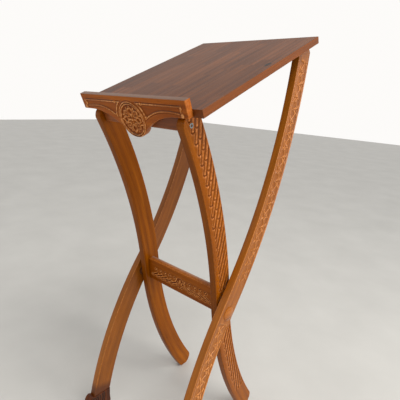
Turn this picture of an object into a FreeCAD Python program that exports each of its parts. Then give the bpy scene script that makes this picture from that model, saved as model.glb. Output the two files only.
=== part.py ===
import FreeCAD, Part
import math
import os

os.makedirs("parts", exist_ok=True)

# Folding reading stand.  Millimetres.  X to the reader's right, Y away from the reader, Z up.
# Two frames of S-curved legs cross at a pivot; the sloped desk is hinged on the inner frame
# and rests on the top rail of the outer frame.

# ---- overall position
CROSS_Y = -18.45       # where the leg centre lines cross
CROSS_Z = 507.0
PIVOT_DY = -14.0       # pivot bolt, measured from that crossing
PIVOT_DZ = -27.4
CAP_R = 20.5           # turned cap over the pivot
CAP_RISE = 4.6
CAP_BALL = 66.0        # radius of its dome

# ---- legs: one S-shaped template, two arcs meeting at the crossing
LEG_W = 60.0
LEG_T = 22.0
R_UP = 1406.0
R_LOW = 1128.0
LEAN_IN = 8.3          # lean of the template at the crossing, inner and outer frame
LEAN_OUT = -35.1
IN_X = 138.0           # inner faces of the inner legs
OUT_X = 169.5          # inner faces of the outer legs
EDGE_R = 2.0

# ---- desk
DESK_W = 422.0
DESK_L = 520.0
DESK_T = 18.5
DESK_TILT = 23.4
DESK_Y = -199.5        # front top edge, from the crossing
DESK_Z = 521.3
LEDGE_W = 370.0
LEDGE_T = 17.0
LEDGE_UP = 24.0
LEDGE_END = -15.0      # lower edge at the two ends
ROUNDEL_V = -30.0
ROUNDEL_R = 47.0

# ---- hinge of the desk on the inner legs
HINGE_R = 24.0
HINGE_GAP = 0.8
BATTEN_D = 26.0
BATTEN_LOW = -56.0
BATTEN_END = 136.5

# ---- stretcher, rail, feet
STR_T = 20.0
STR_LOW = -47.0
STR_HIGH = 29.0
STR_FRONT = -13.0
RAIL_T = 26.0
RAIL_H = 32.0
FOOT_H = 88.0
FOOT_W = 27.0

# ---- fasteners
BOLT_R = 4.0
RUN = 0.05
GAP = 0.3
DOWEL_R = 4.0

SIDES = (("left", -1.0), ("right", 1.0))


def vec(x, y, z):
    """A point given from the crossing, in the finished frame."""
    return FreeCAD.Vector(x, y + CROSS_Y, z + CROSS_Z)


def uv(u, v):
    """Desk coordinates (u back along the top face, v off it) to y, z from the crossing."""
    t = math.radians(DESK_TILT)
    return (DESK_Y + u * math.cos(t) - v * math.sin(t),
            DESK_Z + u * math.sin(t) + v * math.cos(t))


def on_upper(lean, ang, off):
    """Point of the upper arc at tangent angle ang; off > 0 is towards the back edge."""
    a = math.radians(lean)
    t = math.radians(ang)
    r = R_UP + off
    return (-R_UP * math.cos(a) + r * math.cos(t), -R_UP * math.sin(a) + r * math.sin(t))


def on_lower(lean, ang, off):
    a = math.radians(lean)
    t = math.radians(ang)
    r = R_LOW - off
    return (R_LOW * math.cos(a) - r * math.cos(t), R_LOW * math.sin(a) - r * math.sin(t))


def arc(fn, lean, a0, a1, off, x):
    p = [vec(x, *fn(lean, a0 + (a1 - a0) * k / 2.0, off)) for k in range(3)]
    return Part.Arc(p[0], p[1], p[2]).toShape()


def line(p, q):
    return Part.makeLine(p, q)


def band(lean, a_low, a_high, x, t, w):
    """The curved leg blank between two tangent angles."""
    h = w / 2.0
    front_up = arc(on_upper, lean, lean, a_high, -h, x)
    back_up = arc(on_upper, lean, a_high, lean, h, x)
    back_low = arc(on_lower, lean, lean, a_low, h, x)
    front_low = arc(on_lower, lean, a_low, lean, -h, x)
    top = line(vec(x, *on_upper(lean, a_high, -h)), vec(x, *on_upper(lean, a_high, h)))
    low = line(vec(x, *on_lower(lean, a_low, h)), vec(x, *on_lower(lean, a_low, -h)))
    wire = Part.Wire([front_up, top, back_up, back_low, low, front_low])
    return Part.Face(wire).extrude(FreeCAD.Vector(t, 0, 0))


def prism(points, x, t):
    """Prism of y, z points from x to x + t."""
    pts = [vec(x, y, z) for (y, z) in points]
    wire = Part.makePolygon(pts + [pts[0]])
    return Part.Face(wire).extrude(FreeCAD.Vector(t, 0, 0))


def rod(x0, x1, r, y, z):
    lo = min(x0, x1)
    return Part.makeCylinder(r, abs(x1 - x0), vec(lo, y, z), FreeCAD.Vector(1, 0, 0))


def x_edges(shape, y, z, tol=1.0):
    """Edges parallel to X that pass by y, z."""
    found = []
    for e in shape.Edges:
        c = e.CenterOfMass
        d = e.tangentAt(e.FirstParameter)
        if abs(abs(d.x) - 1.0) < 1e-6 and math.hypot(c.y - CROSS_Y - y, c.z - CROSS_Z - z) < tol:
            found.append(e)
    return found


def hinge_yz():
    """Hinge axis: HINGE_R inside the front edge and below the flat top of the inner leg."""
    v = -DESK_T - HINGE_GAP - HINGE_R
    lo, hi = LEAN_IN, LEAN_IN + 40.0
    for _ in range(60):
        mid = (lo + hi) / 2.0
        y, z = on_upper(LEAN_IN, mid, -LEG_W / 2.0 + HINGE_R)
        if desk_v(y, z) < v:
            lo = mid
        else:
            hi = mid
    return on_upper(LEAN_IN, lo, -LEG_W / 2.0 + HINGE_R)


def desk_u(y, z):
    t = math.radians(DESK_TILT)
    return (y - DESK_Y) * math.cos(t) + (z - DESK_Z) * math.sin(t)


def desk_v(y, z):
    t = math.radians(DESK_TILT)
    return -(y - DESK_Y) * math.sin(t) + (z - DESK_Z) * math.cos(t)


def edge_at_v(lean, off, v):
    """Where an edge of the upper arc meets the level v under the desk."""
    lo, hi = lean, lean + 45.0
    for _ in range(60):
        mid = (lo + hi) / 2.0
        if desk_v(*on_upper(lean, mid, off)) < v:
            lo = mid
        else:
            hi = mid
    return on_upper(lean, lo, off)


def below_desk(v):
    """A large prism that removes everything above level v."""
    pts = [uv(-200, v), uv(900, v), uv(900, v + 500), uv(-200, v + 500)]
    return prism(pts, -300, 600)


def soften(shape, r):
    """Round the long outline edges of a leg on both faces."""
    edges = []
    for e in shape.Edges:
        d = e.tangentAt(e.FirstParameter)
        if e.Length > 300 and abs(d.x) < 1e-6:
            edges.append(e)
    return shape.makeFillet(r, edges)


HY, HZ = hinge_yz()
PY, PZ = PIVOT_DY, PIVOT_DZ


def inner_leg(sgn):
    x = IN_X if sgn > 0 else -IN_X - LEG_T
    leg = band(LEAN_IN, LEAN_IN + 33.0, LEAN_IN + 30.0, x, LEG_T, LEG_W)
    v_top = -DESK_T - HINGE_GAP
    leg = leg.cut(below_desk(v_top))
    front = edge_at_v(LEAN_IN, -LEG_W / 2.0, v_top)
    back = edge_at_v(LEAN_IN, LEG_W / 2.0, v_top)
    leg = leg.makeFillet(HINGE_R, x_edges(leg, *front))
    leg = leg.makeFillet(16.0, x_edges(leg, *back))
    foot = foot_angle()
    h = LEG_W / 2.0
    y, z = on_lower(LEAN_IN, foot, 0.0)
    t = math.radians(foot)
    dy, dz = math.sin(t), -math.cos(t)
    ny, nz = math.cos(t), math.sin(t)
    chop = prism([(y - 60 * ny, z - 60 * nz), (y + 60 * ny, z + 60 * nz),
                  (y + 60 * ny + 300 * dy, z + 60 * nz + 300 * dz),
                  (y - 60 * ny + 300 * dy, z - 60 * nz + 300 * dz)], -300, 600)
    leg = leg.cut(chop).fuse(rod(x, x + LEG_T, h, y, z)).removeSplitter()
    floor = prism([(-600, -CROSS_Z), (600, -CROSS_Z), (600, -CROSS_Z - 200), (-600, -CROSS_Z - 200)],
                  -300, 600)
    leg = leg.cut(floor)
    leg = soften(leg, EDGE_R)
    out = sgn * (IN_X + LEG_T)
    leg = leg.cut(rod(out, out - sgn * 15.0, 6.5, PY, PZ))
    leg = leg.cut(rod(sgn * (IN_X - 1), out, BOLT_R + RUN, HY, HZ))
    leg = leg.cut(rod(out, out - sgn * 3.0, 6.4, HY, HZ))
    for (dy, dz) in stretcher_dowel_places():
        leg = leg.cut(rod(sgn * IN_X, sgn * (IN_X + 13.0), DOWEL_R, dy, dz))
    return leg


def foot_angle():
    """Tangent angle where the rounded back foot just stands on the floor with a small flat."""
    lo, hi = LEAN_IN, LEAN_IN + 45.0
    for _ in range(60):
        mid = (lo + hi) / 2.0
        if on_lower(LEAN_IN, mid, 0.0)[1] > -CROSS_Z + LEG_W / 2.0 - 2.5:
            lo = mid
        else:
            hi = mid
    return lo


def outer_leg(sgn):
    x = OUT_X if sgn > 0 else -OUT_X - LEG_T
    leg = band(LEAN_OUT, LEAN_OUT + 40.0, LEAN_OUT + 40.0, x, LEG_T, LEG_W)
    v_top = -DESK_T - 1.5
    leg = leg.cut(below_desk(v_top))
    back = edge_at_v(LEAN_OUT, LEG_W / 2.0, v_top)
    leg = leg.makeFillet(18.0, x_edges(leg, *back))
    zf = -CROSS_Z + FOOT_H
    leg = leg.cut(prism([(-600, zf), (600, zf), (600, zf - 400), (-600, zf - 400)], -300, 600))
    leg = soften(leg, EDGE_R)
    out = sgn * (OUT_X + LEG_T)
    leg = leg.cut(rod(sgn * (OUT_X - 1), out, BOLT_R + RUN, PY, PZ))
    leg = leg.cut(rod(out, out - sgn * 9.0, 12.0, PY, PZ))
    for (dy, dz) in rail_dowel_places():
        leg = leg.cut(rod(sgn * OUT_X, sgn * (OUT_X + 13.0), DOWEL_R, dy, dz))
    for y in foot_dowel_ys():
        leg = leg.cut(stub(sgn, y, FOOT_H - 1.0, FOOT_H + 22.0))
    return leg


# ---- stretcher between the inner legs, set along the leg's lean
def lean_pt(f, up):
    """f back from the centre line and up along it, near the crossing."""
    a = math.radians(LEAN_IN)
    return (f * math.cos(a) - up * math.sin(a), f * math.sin(a) + up * math.cos(a))


def stretcher_dowel_places():
    mid = STR_FRONT + STR_T / 2.0
    return [lean_pt(mid, 17.0), lean_pt(mid, -15.0)]


def stretcher():
    pts = [lean_pt(STR_FRONT, STR_LOW), lean_pt(STR_FRONT + STR_T, STR_LOW),
           lean_pt(STR_FRONT + STR_T, STR_HIGH), lean_pt(STR_FRONT, STR_HIGH)]
    bar = prism(pts, -IN_X, 2 * IN_X)
    edges = []
    for (f, up) in ((STR_FRONT, STR_LOW), (STR_FRONT, STR_HIGH)):
        edges += x_edges(bar, *lean_pt(f, up))
    bar = bar.makeFillet(2.0, edges)
    for (dy, dz) in stretcher_dowel_places():
        for (_, sgn) in SIDES:
            bar = bar.cut(rod(sgn * (IN_X - 24.0), sgn * IN_X, DOWEL_R, dy, dz))
    return bar


def stretcher_dowels():
    out = []
    for (dy, dz) in stretcher_dowel_places():
        for (_, sgn) in SIDES:
            out.append(rod(sgn * (IN_X - 24.0), sgn * (IN_X + 13.0), DOWEL_R, dy, dz))
    return Part.makeCompound(out)


# ---- top rail of the outer frame
def rail_frame():
    """Centre of the outer leg just under the desk, and the direction of the leg there."""
    y, z = edge_at_v(LEAN_OUT, 0.0, -DESK_T - GAP)
    a = math.asin(max(-1.0, min(1.0, (z + R_UP * math.sin(math.radians(LEAN_OUT))) / R_UP)))
    return y, z, -math.sin(a), math.cos(a)


def rail_section():
    y, z, ty, tz = rail_frame()
    ny, nz = tz, -ty
    h = RAIL_T / 2.0
    low_f = (y - h * ny - RAIL_H * ty, z - h * nz - RAIL_H * tz)
    low_b = (y + h * ny - RAIL_H * ty, z + h * nz - RAIL_H * tz)
    top_f = meet_level(low_f, (ty, tz), -DESK_T - GAP)
    top_b = meet_level(low_b, (ty, tz), -DESK_T - GAP)
    return [low_f, low_b, top_b, top_f]


def meet_level(p, d, v):
    """Move from p along d until level v under the desk is met."""
    rate = desk_v(p[0] + d[0], p[1] + d[1]) - desk_v(*p)
    k = (v - desk_v(*p)) / rate
    return (p[0] + k * d[0], p[1] + k * d[1])


def rail_dowel_places():
    y, z, ty, tz = rail_frame()
    return [(y - k * ty, z - k * tz) for k in (11.0, 23.0)]


def top_rail():
    bar = prism(rail_section(), -OUT_X, 2 * OUT_X)
    low = rail_section()[:2]
    edges = []
    for (y, z) in low:
        edges += x_edges(bar, y, z)
    bar = bar.makeFillet(3.0, edges)
    for (dy, dz) in rail_dowel_places():
        for (_, sgn) in SIDES:
            bar = bar.cut(rod(sgn * (OUT_X - 24.0), sgn * OUT_X, DOWEL_R, dy, dz))
    return bar


def rail_dowels():
    out = []
    for (dy, dz) in rail_dowel_places():
        for (_, sgn) in SIDES:
            out.append(rod(sgn * (OUT_X - 24.0), sgn * (OUT_X + 13.0), DOWEL_R, dy, dz))
    return Part.makeCompound(out)


# ---- paw feet under the outer legs
def foot_yz():
    """Front and back edge of the outer leg at the top of the foot."""
    found = []
    for off in (-LEG_W / 2.0, LEG_W / 2.0):
        lo, hi = LEAN_OUT, LEAN_OUT + 40.0
        for _ in range(60):
            mid = (lo + hi) / 2.0
            if on_lower(LEAN_OUT, mid, off)[1] > -CROSS_Z + FOOT_H:
                lo = mid
            else:
                hi = mid
        found.append(on_lower(LEAN_OUT, lo, off)[0])
    return found


def foot_dowel_ys():
    f, b = foot_yz()
    return [f + 17.0, b - 15.0]


def stub(sgn, y, z0, z1):
    xm = sgn * (OUT_X + LEG_T / 2.0)
    return Part.makeCylinder(DOWEL_R, z1 - z0, vec(xm, y, z0 - CROSS_Z), FreeCAD.Vector(0, 0, 1))


def paw_foot(sgn):
    """A carved paw: heel block, knuckle lobe and toes."""
    f, b = foot_yz()
    x = sgn * (OUT_X + LEG_T / 2.0) - FOOT_W / 2.0
    z0 = -CROSS_Z
    body = prism([(f - 4, z0 + FOOT_H), (b, z0 + FOOT_H), (b + 2, z0 + 40), (b - 4, z0),
                  (f - 20, z0), (f - 26, z0 + 20)], x, FOOT_W)
    knuckle = rod(x, x + FOOT_W, 21.0, f - 2.0, z0 + 72.0)
    toe = rod(x, x + FOOT_W, 21.0, f - 16.0, z0 + 21.0)
    arch = rod(x, x + FOOT_W, 17.0, f - 11.0, z0 + 46.0)
    paw = body.fuse([knuckle, toe, arch]).removeSplitter()
    box = Part.makeBox(FOOT_W + 2, 400, FOOT_H + 5, vec(x - 1, f - 200, z0))
    leg = band(LEAN_OUT, LEAN_OUT + 40.0, LEAN_OUT + 5.0, x - 1.0, FOOT_W + 2.0, LEG_W)
    above = Part.makeBox(FOOT_W + 4, 400, 60, vec(x - 2, f - 200, z0 + FOOT_H))
    paw = paw.common(box).cut(leg.common(above))
    for k in (-1, 1):
        xs = x + FOOT_W / 2.0 + k * FOOT_W / 6.0
        cut = Part.makeCylinder(2.0, 100, vec(xs, f - 44.0, z0 - 5), FreeCAD.Vector(0, 0.25, 1))
        paw = paw.cut(cut)
    for y in foot_dowel_ys():
        paw = paw.cut(stub(sgn, y, FOOT_H - 22.0, FOOT_H + 1.0))
    return paw


def foot_dowels():
    out = []
    for (_, sgn) in SIDES:
        for y in foot_dowel_ys():
            out.append(stub(sgn, y, FOOT_H - 22.0, FOOT_H + 22.0))
    return Part.makeCompound(out)


# ---- desk
def desk_board():
    top = prism([uv(0, 0), uv(DESK_L, 0), uv(DESK_L, -DESK_T), uv(0, -DESK_T)],
                -DESK_W / 2.0, DESK_W)
    edges = []
    for e in top.Edges:
        p = e.CenterOfMass
        u = desk_u(p.y - CROSS_Y, p.z - CROSS_Z)
        if u > 1.0:
            edges.append(e)
    top = top.makeFillet(1.5, edges)
    for x in ledge_dowel_xs():
        top = top.cut(u_rod(x, 0.0, 22.0, -DESK_T / 2.0, DOWEL_R))
    for (x, u, v0) in screw_places():
        top = top.cut(v_rod(x, u, v0 - 1.0, -5.0, 1.75))
    return top


def u_rod(x, u0, u1, v, r):
    y, z = uv(u0, v)
    t = math.radians(DESK_TILT)
    return Part.makeCylinder(r, u1 - u0, vec(x, y, z), FreeCAD.Vector(0, math.cos(t), math.sin(t)))


def v_rod(x, u, v0, v1, r):
    y, z = uv(u, v0)
    t = math.radians(DESK_TILT)
    return Part.makeCylinder(r, v1 - v0, vec(x, y, z), FreeCAD.Vector(0, -math.sin(t), math.cos(t)))


def ledge_dowel_xs():
    return [-150.0, -50.0, 50.0, 150.0]


def plane_pt(x, v, u):
    y, z = uv(u, v)
    return vec(x, y, z)


def spline(points, u):
    c = Part.BSplineCurve()
    c.interpolate([plane_pt(x, v, u) for (x, v) in points])
    return c.toShape()


def ledge():
    """Ledge and apron in one piece, with the round boss in the middle of its lower edge."""
    u0 = -LEDGE_T
    half = LEDGE_W / 2.0
    join = (40.5, ROUNDEL_V - math.sqrt(ROUNDEL_R ** 2 - 40.5 ** 2))
    arch = [(half - 33.0, LEDGE_END), (118.0, -18.0), (88.0, -27.0), (66.0, -38.0), join]
    flip = [(-x, v) for (x, v) in reversed(arch)]
    low = plane_pt(0.0, ROUNDEL_V - ROUNDEL_R, u0)
    edges = [line(plane_pt(half, LEDGE_UP, u0), plane_pt(half, LEDGE_END, u0)),
             line(plane_pt(half, LEDGE_END, u0), plane_pt(half - 33.0, LEDGE_END, u0)),
             spline(arch, u0),
             Part.Arc(plane_pt(join[0], join[1], u0), low, plane_pt(-join[0], join[1], u0)).toShape(),
             spline(flip, u0),
             line(plane_pt(33.0 - half, LEDGE_END, u0), plane_pt(-half, LEDGE_END, u0)),
             line(plane_pt(-half, LEDGE_END, u0), plane_pt(-half, LEDGE_UP, u0)),
             line(plane_pt(-half, LEDGE_UP, u0), plane_pt(half, LEDGE_UP, u0))]
    t = math.radians(DESK_TILT)
    back = FreeCAD.Vector(0, math.cos(t), math.sin(t))
    body = Part.Face(Part.Wire(edges)).extrude(back * LEDGE_T)
    for (v, depth) in ((12.5, 1.0), (8.5, 1.0)):
        groove = prism([uv(u0 - 1, v - 0.8), uv(u0 + depth, v), uv(u0 - 1, v + 0.8)],
                       -half + 12.0, LEDGE_W - 24.0)
        body = body.cut(groove)
    for (r_out, r_in, depth) in ((44.5, 42.5, 1.2), (39.5, 0.0, 1.6)):
        ring = u_rod(0.0, u0 - 1.0, u0 + depth, ROUNDEL_V, r_out)
        if r_in > 0:
            ring = ring.cut(u_rod(0.0, u0 - 2.0, u0 + depth + 1.0, ROUNDEL_V, r_in))
        body = body.cut(ring)
    body = body.fuse(rosette(u0 + 1.6)).removeSplitter()
    for x in ledge_dowel_xs():
        body = body.cut(u_rod(x, -11.0, 0.0, -DESK_T / 2.0, DOWEL_R))
    return body


def rosette(u):
    """Petals in the sunk field of the roundel, no prouder than its rim."""
    out = []
    for k in range(8):
        a = math.radians(45.0 * k + 22.5)
        x = 23.0 * math.cos(a)
        v = ROUNDEL_V + 23.0 * math.sin(a)
        out.append(u_rod(x, u - 1.4, u + 2.0, v, 7.0))
    out.append(u_rod(0.0, u - 1.6, u + 2.0, ROUNDEL_V, 10.0))
    shape = out[0]
    for s in out[1:]:
        shape = shape.fuse(s)
    return shape


def ledge_dowels():
    return Part.makeCompound([u_rod(x, -11.0, 22.0, -DESK_T / 2.0, DOWEL_R)
                              for x in ledge_dowel_xs()])


def hinge_batten():
    hu = desk_u(HY, HZ)
    u0 = max(0.5, hu - BATTEN_D / 2.0)
    u1 = u0 + BATTEN_D
    bar = prism([uv(u0, -DESK_T), uv(u1, -DESK_T), uv(u1, BATTEN_LOW), uv(u0, BATTEN_LOW)],
                -BATTEN_END, 2 * BATTEN_END)
    edges = x_edges(bar, *uv(u0, BATTEN_LOW)) + x_edges(bar, *uv(u1, BATTEN_LOW))
    bar = bar.makeFillet(4.0, edges)
    for (_, sgn) in SIDES:
        bar = bar.cut(rod(sgn * BATTEN_END, sgn * (BATTEN_END - 20.0), 6.0, HY, HZ))
    for x in batten_screw_xs():
        u = batten_screw_u()
        bar = bar.cut(v_rod(x, u, BATTEN_LOW - 1.0, -DESK_T + 1.0, 2.25))
        bar = bar.cut(v_rod(x, u, BATTEN_LOW - 1.0, BATTEN_LOW + 17.0, 5.0))
    return bar


def batten_screw_xs():
    return [-100.0, -34.0, 34.0, 100.0]


def batten_screw_u():
    return max(0.5, desk_u(HY, HZ) - BATTEN_D / 2.0) + BATTEN_D / 2.0


def cleat_u():
    """Front face of the stop cleats: just behind the rail."""
    back = rail_section()[2]
    return desk_u(*back) + GAP


CLEAT_D = 18.0
CLEAT_H = 14.0
CLEAT_L = 70.0
CLEAT_X = 105.0


def stop_cleat(sgn):
    u0 = cleat_u()
    v1 = -DESK_T - CLEAT_H
    bar = prism([uv(u0, -DESK_T), uv(u0 + CLEAT_D, -DESK_T), uv(u0 + CLEAT_D, v1), uv(u0, v1)],
                sgn * CLEAT_X - CLEAT_L / 2.0, CLEAT_L)
    edges = x_edges(bar, *uv(u0, v1)) + x_edges(bar, *uv(u0 + CLEAT_D, v1))
    bar = bar.makeFillet(3.0, edges)
    for dx in (-22.0, 22.0):
        x = sgn * CLEAT_X + dx
        bar = bar.cut(v_rod(x, u0 + CLEAT_D / 2.0, v1 - 1.0, -DESK_T + 1.0, 2.25))
        bar = bar.cut(v_rod(x, u0 + CLEAT_D / 2.0, v1 - 1.0, v1 + 3.0, 4.2))
    return bar


def screw_places():
    """Pilot holes in the board: x, u and the level of the screw's entry."""
    out = [(x, batten_screw_u(), -DESK_T) for x in batten_screw_xs()]
    for (_, sgn) in SIDES:
        for dx in (-22.0, 22.0):
            out.append((sgn * CLEAT_X + dx, cleat_u() + CLEAT_D / 2.0, -DESK_T))
    return out


def screw(x, u, v_head, head_h, head_r):
    """Pan-head wood screw standing up into the board."""
    head = v_rod(x, u, v_head, v_head + head_h, head_r)
    slot = v_rod(x, u, v_head - 0.5, v_head + 1.2, 1.3)
    shank = v_rod(x, u, v_head + head_h - 0.1, -DESK_T, 2.0)
    tip = v_rod(x, u, -DESK_T - 0.5, -6.0, 1.75)
    return head.cut(slot).fuse([shank, tip]).removeSplitter()


def batten_screws():
    return Part.makeCompound([screw(x, batten_screw_u(), BATTEN_LOW + 13.5, 3.5, 4.2)
                              for x in batten_screw_xs()])


def cleat_screws():
    out = []
    for (x, u, _) in screw_places():
        if u > 100.0:
            out.append(screw(x, u, -DESK_T - CLEAT_H + 0.6, 2.4, 3.9))
    return Part.makeCompound(out)


# ---- hinge hardware of the desk
def hex_prism(x0, x1, af, y, z):
    r = af / math.sqrt(3.0)
    pts = []
    for k in range(6):
        a = math.radians(60.0 * k + 30.0)
        pts.append((y + r * math.cos(a), z + r * math.sin(a)))
    return prism(pts, min(x0, x1), abs(x1 - x0))


def hinge_bolt(sgn):
    out = IN_X + LEG_T
    head = rod(sgn * (out - 2.7), sgn * (out + 0.8), 6.0, HY, HZ)
    rim = [e for e in head.Edges if abs(abs(e.CenterOfMass.x) - (out + 0.8)) < 1e-6]
    head = head.makeFillet(0.6, rim)
    head = head.cut(hex_prism(sgn * (out - 2.0), sgn * (out + 2.0), 5.0, HY, HZ))
    shank = rod(sgn * (out - 2.7), sgn * (BATTEN_END - 16.0), BOLT_R, HY, HZ)
    return head.fuse(shank).removeSplitter()


def tube(x0, x1, r_out, r_in, y, z):
    return rod(x0, x1, r_out, y, z).cut(rod(x0, x1, r_in, y, z))


def hinge_inserts():
    return Part.makeCompound([tube(s * BATTEN_END, s * (BATTEN_END - 18.0), 6.0, BOLT_R, HY, HZ)
                              for (_, s) in SIDES])


def hinge_washers():
    return Part.makeCompound([tube(s * BATTEN_END, s * (IN_X - GAP), 9.0, BOLT_R, HY, HZ)
                              for (_, s) in SIDES])


# ---- pivot hardware
def pivot_bolt(sgn):
    seat = OUT_X + LEG_T - 9.0
    head = rod(sgn * (seat + 1.6), sgn * (seat + 5.2), 6.5, PY, PZ)
    head = head.cut(hex_prism(sgn * (seat + 2.6), sgn * (seat + 6.0), 5.0, PY, PZ))
    shank = rod(sgn * (IN_X + LEG_T - 13.0), sgn * (seat + 1.6), BOLT_R, PY, PZ)
    return head.fuse(shank).removeSplitter()


def pivot_inserts():
    out = IN_X + LEG_T
    return Part.makeCompound([tube(s * out, s * (out - 15.0), 6.5, BOLT_R, PY, PZ)
                              for (_, s) in SIDES])


def pivot_spacers():
    out = IN_X + LEG_T
    return Part.makeCompound([tube(s * out, s * (OUT_X - GAP), 15.0, BOLT_R, PY, PZ)
                              for (_, s) in SIDES])


def pivot_washers():
    seat = OUT_X + LEG_T - 9.0
    return Part.makeCompound([tube(s * (seat + GAP), s * (seat + 1.6), 8.5, BOLT_R, PY, PZ)
                              for (_, s) in SIDES])


def pivot_cap(sgn):
    """Turned wooden cap: a low dome over the pivot, with a plug in the bolt's counterbore."""
    face = OUT_X + LEG_T
    plug = rod(sgn * (face - 3.2), sgn * (face + 1.0), 12.0, PY, PZ)
    ball = Part.makeSphere(CAP_BALL, vec(sgn * (face + CAP_RISE - CAP_BALL), PY, PZ))
    dome = rod(sgn * face, sgn * (face + CAP_RISE), CAP_R, PY, PZ).common(ball)
    return plug.fuse(dome).removeSplitter()


def rest_pads():
    """Thin felt strips let into the top of the rail."""
    sec = rail_section()
    u_f = desk_u(*sec[3])
    u_b = desk_u(*sec[2])
    out = []
    for (_, sgn) in SIDES:
        out.append(prism([uv(u_f + 6, -DESK_T - GAP), uv(u_b - 6, -DESK_T - GAP),
                          uv(u_b - 6, -DESK_T - GAP - 2.0), uv(u_f + 6, -DESK_T - GAP - 2.0)],
                         sgn * 120.0 - 20.0, 40.0))
    return out


def save(name, shape):
    shape.exportStep("parts/" + name + ".step")


def main():
    pads = rest_pads()
    rail = top_rail()
    for p in pads:
        rail = rail.cut(p)
    nodes = {
        "stretcher": stretcher(), "stretcher_dowels": stretcher_dowels(),
        "pivot_inserts": pivot_inserts(), "pivot_spacers": pivot_spacers(),
        "pivot_washers": pivot_washers(),
        "top_rail": rail, "rail_dowels": rail_dowels(), "rest_pads": Part.makeCompound(pads),
        "foot_dowels": foot_dowels(),
        "desk_board": desk_board(), "ledge": ledge(), "ledge_dowels": ledge_dowels(),
        "hinge_batten": hinge_batten(), "batten_screws": batten_screws(),
        "cleat_screws": cleat_screws(), "hinge_inserts": hinge_inserts(),
        "hinge_washers": hinge_washers(),
    }
    for (side, sgn) in SIDES:
        nodes["inner_leg_" + side] = inner_leg(sgn)
        nodes["outer_leg_" + side] = outer_leg(sgn)
        nodes["paw_foot_" + side] = paw_foot(sgn)
        nodes["pivot_bolt_" + side] = pivot_bolt(sgn)
        nodes["pivot_cap_" + side] = pivot_cap(sgn)
        nodes["hinge_bolt_" + side] = hinge_bolt(sgn)
        nodes["stop_cleat_" + side] = stop_cleat(sgn)
    box = FreeCAD.BoundBox()
    for (name, shape) in nodes.items():
        save(name, shape)
        box.add(shape.BoundBox)
        kinds = [s.isValid() for s in shape.Solids]
        print(name, len(kinds), all(kinds), round(shape.Volume / 1000.0, 2))
    print("box", box)
    t = math.radians(DESK_TILT)
    print("hinge y z", round(HY + CROSS_Y, 3), round(HZ + CROSS_Z, 3), "u", round(desk_u(HY, HZ), 2))
    print("pivot y z", PY + CROSS_Y, PZ + CROSS_Z)


main()
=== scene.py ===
"""Visual model of a folding lectern with carved legs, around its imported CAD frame."""
import math

import bpy
import numpy as np
from mathutils import Matrix, Vector


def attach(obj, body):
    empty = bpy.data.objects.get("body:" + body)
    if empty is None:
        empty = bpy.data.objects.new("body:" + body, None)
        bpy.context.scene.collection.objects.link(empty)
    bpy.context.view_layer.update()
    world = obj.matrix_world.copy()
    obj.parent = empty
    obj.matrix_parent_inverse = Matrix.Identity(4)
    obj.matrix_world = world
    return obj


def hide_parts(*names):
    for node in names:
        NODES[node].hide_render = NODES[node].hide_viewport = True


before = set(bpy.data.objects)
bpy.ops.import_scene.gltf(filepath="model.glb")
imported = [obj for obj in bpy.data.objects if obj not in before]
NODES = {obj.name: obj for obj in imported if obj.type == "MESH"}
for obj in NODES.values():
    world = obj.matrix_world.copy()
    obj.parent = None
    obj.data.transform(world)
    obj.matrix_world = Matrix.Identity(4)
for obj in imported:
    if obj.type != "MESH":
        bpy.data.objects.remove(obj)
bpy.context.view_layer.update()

# ---------------------------------------------------------------- dimensions, mm
MM = 0.001
SIDES = (("left", -1.0), ("right", 1.0))
CROSS_Y, CROSS_Z = -18.45, 507.0       # where the centre lines of the legs cross
LEG_W, LEG_T = 60.0, 22.0
HALF_W, HALF_T = LEG_W / 2.0, LEG_T / 2.0
R_UP, R_LOW = 1406.0, 1128.0           # radii of the centre line above and below the crossing
LEAN_IN, LEAN_OUT = 8.3, -35.1         # degrees from upright at the crossing
IN_X, OUT_X = 138.0, 169.5             # inner faces of the inner and of the outer legs
EDGE_R = 2.0                           # arrises of the legs
TOP_R_IN, TOP_R_OUT = 16.0, 18.0       # back corners at the tops of the legs
TOP_GAP = 1.5                          # outer leg to desk board
HINGE_R, HINGE_GAP = 24.0, 0.8         # front corner of the inner leg, and its gap to the board
HEEL_FLAT = 2.5                        # taken off the round end of the inner leg
TILT = math.radians(23.4)              # slope of the desk
DESK_Y, DESK_Z = -199.5, 521.3         # the desk's own zero, from the crossing
DESK_T = 18.5
LEDGE_W, LEDGE_T, LEDGE_UP, LEDGE_END = 370.0, 17.0, 24.0, -15.0
ROUNDEL_V, ROUNDEL_R = -30.0, 47.0     # outline of the round boss under the ledge
STR_T, STR_LOW, STR_HIGH, STR_FRONT = 20.0, -47.0, 29.0, -13.0
FOOT_H, FOOT_W = 88.0, 27.0
TOLERANCE = 0.002
UP_SPAN, LOW_SPAN = (100.0, 900.0), (0.0, -900.0)       # from inside a leg to past its end


# ---------------------------------------------------------------- small maths
def smooth(t):
    """Ease from 0 to 1 as t does."""
    t = np.clip(t, 0.0, 1.0)
    return t * t * (3.0 - 2.0 * t)


def line_groove(d, width):
    """Profile of a narrow cut, 1 on its centre line and fading over width."""
    return np.exp(-(d / width) ** 2)


def rounding(d, r):
    """How far an arris of radius r lies below the face, at d from the edge."""
    gap = np.clip(r - d, 0.0, r)
    return r - np.sqrt(np.maximum(r ** 2 - gap ** 2, 0.0))


def leg_point(lean, s, w):
    """Point of a leg, from the crossing: s along its centre line and w towards its back edge."""
    a = math.radians(lean)
    tu = a + s / R_UP
    tl = a - s / R_LOW
    up = s >= 0
    y = np.where(up, -R_UP * math.cos(a) + (R_UP + w) * np.cos(tu),
                 R_LOW * math.cos(a) - (R_LOW - w) * np.cos(tl))
    z = np.where(up, -R_UP * math.sin(a) + (R_UP + w) * np.sin(tu),
                 R_LOW * math.sin(a) - (R_LOW - w) * np.sin(tl))
    return y, z


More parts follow.
